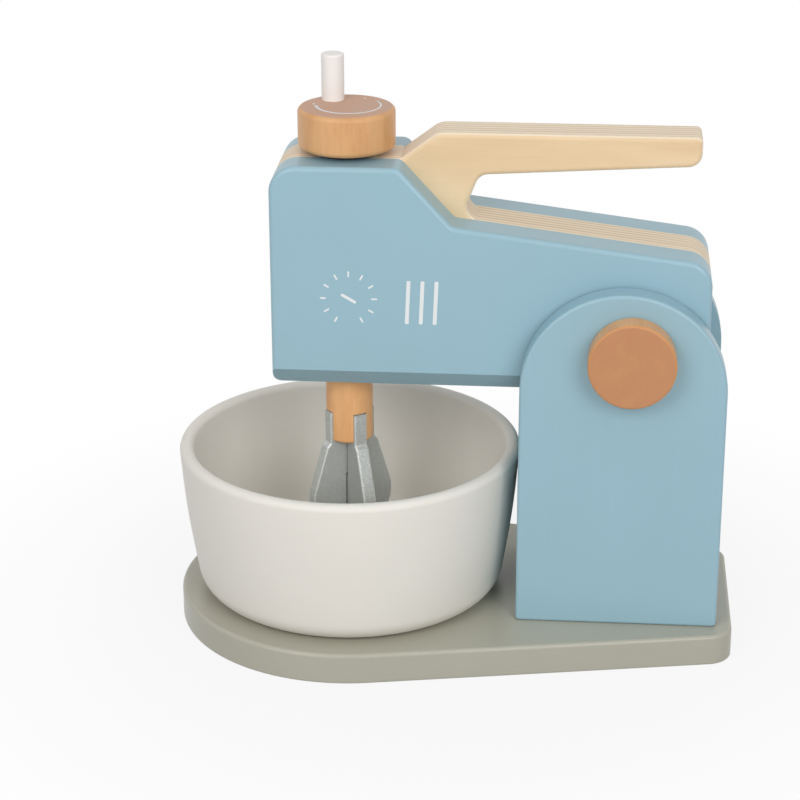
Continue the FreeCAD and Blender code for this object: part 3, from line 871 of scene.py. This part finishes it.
def printed_bars(marks, ink):
    """Upright bars with round ends, side by side."""
    shape = Shape("Printed Bars")
    count = shape.size("Count", marks.bar_count, "NodeSocketInt")
    width = shape.size("Width", marks.bar_width)
    length = shape.size("Length", marks.bar_length)
    pitch = shape.size("Pitch", marks.bar_pitch)
    lean = shape.size("Lean", marks.bar_lean)
    film = shape.size("Ink Thickness", marks.film)
    start = (count - 1) * pitch * -0.5
    row = shape.node("GeometryNodeMeshLine", {"mode": "OFFSET"}, {
        "Count": count, "Start Location": shape.vector(x=start),
        "Offset": shape.vector(x=pitch)})
    bars = shape.node("GeometryNodeInstanceOnPoints", values={
        "Points": row, "Instance": shape.capsule(width, length, film),
        "Rotation": shape.vector(z=lean * -1)})
    bars = on_panel(shape, bars, BARS_CENTRE_X, BARS_CENTRE_Z)
    return shape.piece("printed_bars", bars, ink)


def printed_scale(marks, ink):
    """A plain ring of ticks, open at the bottom, with a short pointer in the middle."""
    shape = Shape("Printed Scale")
    count = shape.size("Ticks", marks.scale_ticks, "NodeSocketInt")
    radius = shape.size("Radius", marks.scale_radius)
    film = shape.size("Ink Thickness", marks.film)
    tick = shape.size("Tick Length", TICK_LENGTH * MM)
    width = shape.size("Tick Width", TICK_WIDTH * MM)
    sweep = math.radians(SCALE_SWEEP_DEG)
    half_gap = math.radians(360 - SCALE_SWEEP_DEG) / 2
    arc = shape.node("GeometryNodeCurveArc", {"mode": "RADIUS"}, {
        "Resolution": count, "Radius": radius - tick * 0.5,
        "Start Angle": half_gap - QUARTER_TURN, "Sweep Angle": sweep})
    index = shape.node("GeometryNodeInputIndex")
    turn = index / (count - 1) * sweep + half_gap
    points = shape.node("GeometryNodeCurveToPoints", {"mode": "EVALUATED"}, {"Curve": arc})
    ticks = shape.node("GeometryNodeInstanceOnPoints", values={
        "Points": points, "Instance": shape.capsule(width, tick, film),
        "Rotation": shape.vector(z=turn)})
    pointer = shape.capsule(shape.size("Pointer Width", POINTER_WIDTH * MM),
                            shape.size("Pointer Length", POINTER_LENGTH * MM), film)
    pointer = shape.moved(pointer, turn=(0, 0, math.radians(POINTER_TURN_DEG)))
    both = on_panel(shape, shape.join(ticks, pointer), SCALE_CENTRE_X, SCALE_CENTRE_Z)
    return shape.piece("printed_scale", both, ink)


def knob_dial(marks, ink):
    """A tapering arc and two dots on top of the knob."""
    shape = Shape("Knob Dial")
    radius = shape.size("Radius", marks.dial_radius)
    width = shape.size("Width", marks.dial_width)
    film = shape.size("Ink Thickness", marks.film)
    arc = shape.node("GeometryNodeCurveArc", {"mode": "RADIUS"}, {
        "Resolution": DIAL_STEPS, "Radius": radius, "Start Angle": math.radians(DIAL_START_DEG),
        "Sweep Angle": math.radians(DIAL_SWEEP_DEG)})
    along = shape.node("GeometryNodeSplineParameter")
    band = shape.node("GeometryNodeCurvePrimitiveQuadrilateral", values={
        "Width": width, "Height": film * 2})
    arc = shape.node("GeometryNodeCurveToMesh", values={
        "Curve": arc, "Profile Curve": band, "Scale": 1 - along * (1 - DIAL_THIN_SHARE),
        "Fill Caps": True})
    arc = shape.moved(arc, DIAL_CENTRE_X * MM, DIAL_CENTRE_Y * MM)
    dot = shape.node("GeometryNodeMeshCylinder", values={
        "Vertices": DOT_STEPS, "Radius": shape.size("Dot Radius", DOT_RADIUS * MM),
        "Depth": film * 2})
    dots = []
    for degrees, distance in DOT_PLACES:
        angle = math.radians(degrees)
        dots.append(shape.moved(dot, distance * MM * math.cos(angle),
                                distance * MM * math.sin(angle)))
    both = shape.moved(shape.join(arc, *dots), WHISK_AXIS.x, 0, KNOB_HIGH.z)
    return shape.piece("knob_dial", both, ink)


# Stage. Each lamp has its offset from the object's middle and its width, in metres, and the
# setting that holds its level
LAMPS = {
    "left_softbox": (Vector((-0.5, -0.96, 0.59)), 0.62, "left"),
    "right_softbox": (Vector((0.57, -0.96, 0.53)), 0.62, "right"),
    "top_softbox": (Vector((-0.1, -0.2, 1.7)), 1.0, "top"),
}

# The floor's paper, and the distances in millimetres between which its shade fades away
FLOOR_STEP_DEG = 3
PAPER_TONE = (0.78, 0.78, 0.78)
FADE_START = 90
FADE_END = 260
SHADE_SHARE = 0.12


class MIXER_OT_stage(Operator):
    """Set up the pale floor, the soft studio lamps and the camera"""

    bl_idname = "mixer.stage"
    bl_label = "Stage"

    def execute(self, context):
        scene, stage = context.scene, context.scene.mixer_stage
        scene.view_settings.view_transform = "Standard"
        build_floor(scene, stage.floor_size)
        build_world(scene, stage.ambient)
        middle = (FRAME_LOW + FRAME_HIGH) / 2
        for name, (offset, width, setting) in LAMPS.items():
            softbox(scene, name, middle, offset, width, getattr(stage, setting))
        place_camera(scene, stage)
        return {"FINISHED"}


def seen_directly(tree):
    """1 for rays that show the background: from the camera, by gloss and through glass."""
    camera, gloss, glass = (
        tree.node("ShaderNodeLightPath", output=name)
        for name in ("Is Camera Ray", "Is Glossy Ray", "Is Transmission Ray"))
    return (camera + gloss + glass).clamped()


def build_floor(scene, radius):
    """A wide pale disc that fades into the white background and keeps the shadow."""
    angles = [math.radians(step) for step in range(0, 360, FLOOR_STEP_DEG)]
    rim = [(radius * math.cos(angle), radius * math.sin(angle), 0) for angle in angles]
    mesh = bpy.data.meshes.new("floor")
    mesh.from_pydata(rim, [], [range(len(rim))])
    floor = bpy.data.objects.new("floor", mesh)
    floor.location.z = FRAME_LOW.z
    scene.collection.objects.link(floor)
    finish = Finish("pale_floor")
    place = finish.place()
    distance = finish.node("ShaderNodeVectorMath", {"operation": "LENGTH"}, {0: place}, "Value")
    grain = finish.noise(place, size=2.5, detail=3)
    paper = finish.shade(linear(PAPER_TONE), 1 + grain.swing(0.02))
    diffuse = finish.node("ShaderNodeBsdfDiffuse", values={"Color": paper})
    white = finish.node("ShaderNodeEmission", values={"Color": WHITE, "Strength": 1.0})
    share = distance.rise(FADE_START, FADE_END) * SHADE_SHARE + (1 - SHADE_SHARE)
    share = share * seen_directly(finish)
    mixed = finish.node("ShaderNodeMixShader", values={0: share, 1: diffuse, 2: white})
    finish.node("ShaderNodeOutputMaterial", values={"Surface": mixed})
    mesh.materials.append(finish.material)


def build_world(scene, ambient):
    """White where it is seen, and the ambient level where it only lights."""
    world = bpy.data.worlds.new("studio")
    world.use_nodes = True
    tree = Tree(world.node_tree)
    lit = tree.node("ShaderNodeBackground", values={"Color": WHITE, "Strength": ambient})
    seen = tree.node("ShaderNodeBackground", values={"Color": WHITE, "Strength": 1.0})
    mixed = tree.node("ShaderNodeMixShader", values={0: seen_directly(tree), 1: lit, 2: seen})
    tree.node("ShaderNodeOutputWorld", values={"Surface": mixed})
    scene.world = world


def softbox(scene, name, target, offset, width, level):
    """A square lamp aimed at the target, as strong as level where 1 is the plain level."""
    data = bpy.data.lights.new(name, "AREA")
    data.shape = "SQUARE"
    data.size = width
    data.energy = level * (math.pi * offset.length) ** 2
    lamp = bpy.data.objects.new(name, data)
    lamp.location = target + offset
    lamp.rotation_euler = (-offset).to_track_quat("-Z", "Y").to_euler()
    scene.collection.objects.link(lamp)


def place_camera(scene, stage):
    """The photograph's viewpoint: turned to the left, tilted down and slightly rolled."""
    turn, tilt, roll = stage.camera_turn
    ahead = Vector((-math.sin(turn) * math.cos(tilt), math.cos(turn) * math.cos(tilt),
                    -math.sin(tilt)))
    level_side = Vector((math.cos(turn), math.sin(turn), 0))
    level_up = level_side.cross(ahead)
    side = level_side * math.cos(roll) + level_up * math.sin(roll)
    up = side.cross(ahead)
    data = bpy.data.cameras.new("camera")
    data.lens = stage.lens
    camera = bpy.data.objects.new("camera", data)
    camera.matrix_world = Matrix.Translation(stage.camera_place) @ Matrix(
        (side, up, -ahead)).transposed().to_4x4()
    scene.collection.objects.link(camera)
    scene.camera = camera


# Panel and registration
class MIXER_PT_sidebar(Panel):
    """Lists the settings and the steps in the 3D view's sidebar"""

    bl_idname = "MIXER_PT_sidebar"
    bl_label = "Toy Stand Mixer"
    bl_space_type = "VIEW_3D"
    bl_region_type = "UI"
    bl_category = "Mixer"

    def draw(self, context):
        for name, group in SETTINGS.items():
            box = self.layout.box()
            box.label(text=group.__doc__)
            for setting in group.__annotations__:
                box.prop(getattr(context.scene, name), setting)
        for step in STEPS:
            self.layout.operator(step.bl_idname)


SETTINGS = {
    "mixer_paints": MIXER_PG_paints,
    "mixer_woods": MIXER_PG_woods,
    "mixer_marks": MIXER_PG_marks,
    "mixer_bowl": MIXER_PG_bowl,
    "mixer_stage": MIXER_PG_stage,
}
STEPS = (
    MIXER_OT_stand,
    MIXER_OT_head,
    MIXER_OT_crank,
    MIXER_OT_whisk,
    MIXER_OT_bowl,
    MIXER_OT_marks,
    MIXER_OT_stage,
)
CLASSES = (*SETTINGS.values(), *STEPS, MIXER_PT_sidebar)


def register():
    for each in CLASSES:
        bpy.utils.register_class(each)
    for name, group in SETTINGS.items():
        setattr(bpy.types.Scene, name, PointerProperty(type=group))


def unregister():
    for name in SETTINGS:
        delattr(bpy.types.Scene, name)
    for each in reversed(CLASSES):
        bpy.utils.unregister_class(each)


def main():
    register()
    bpy.ops.mixer.stand()
    bpy.ops.mixer.head()
    bpy.ops.mixer.crank()
    bpy.ops.mixer.whisk()
    bpy.ops.mixer.bowl()
    bpy.ops.mixer.marks()
    bpy.ops.mixer.stage()


if __name__ == "__main__":
    main()
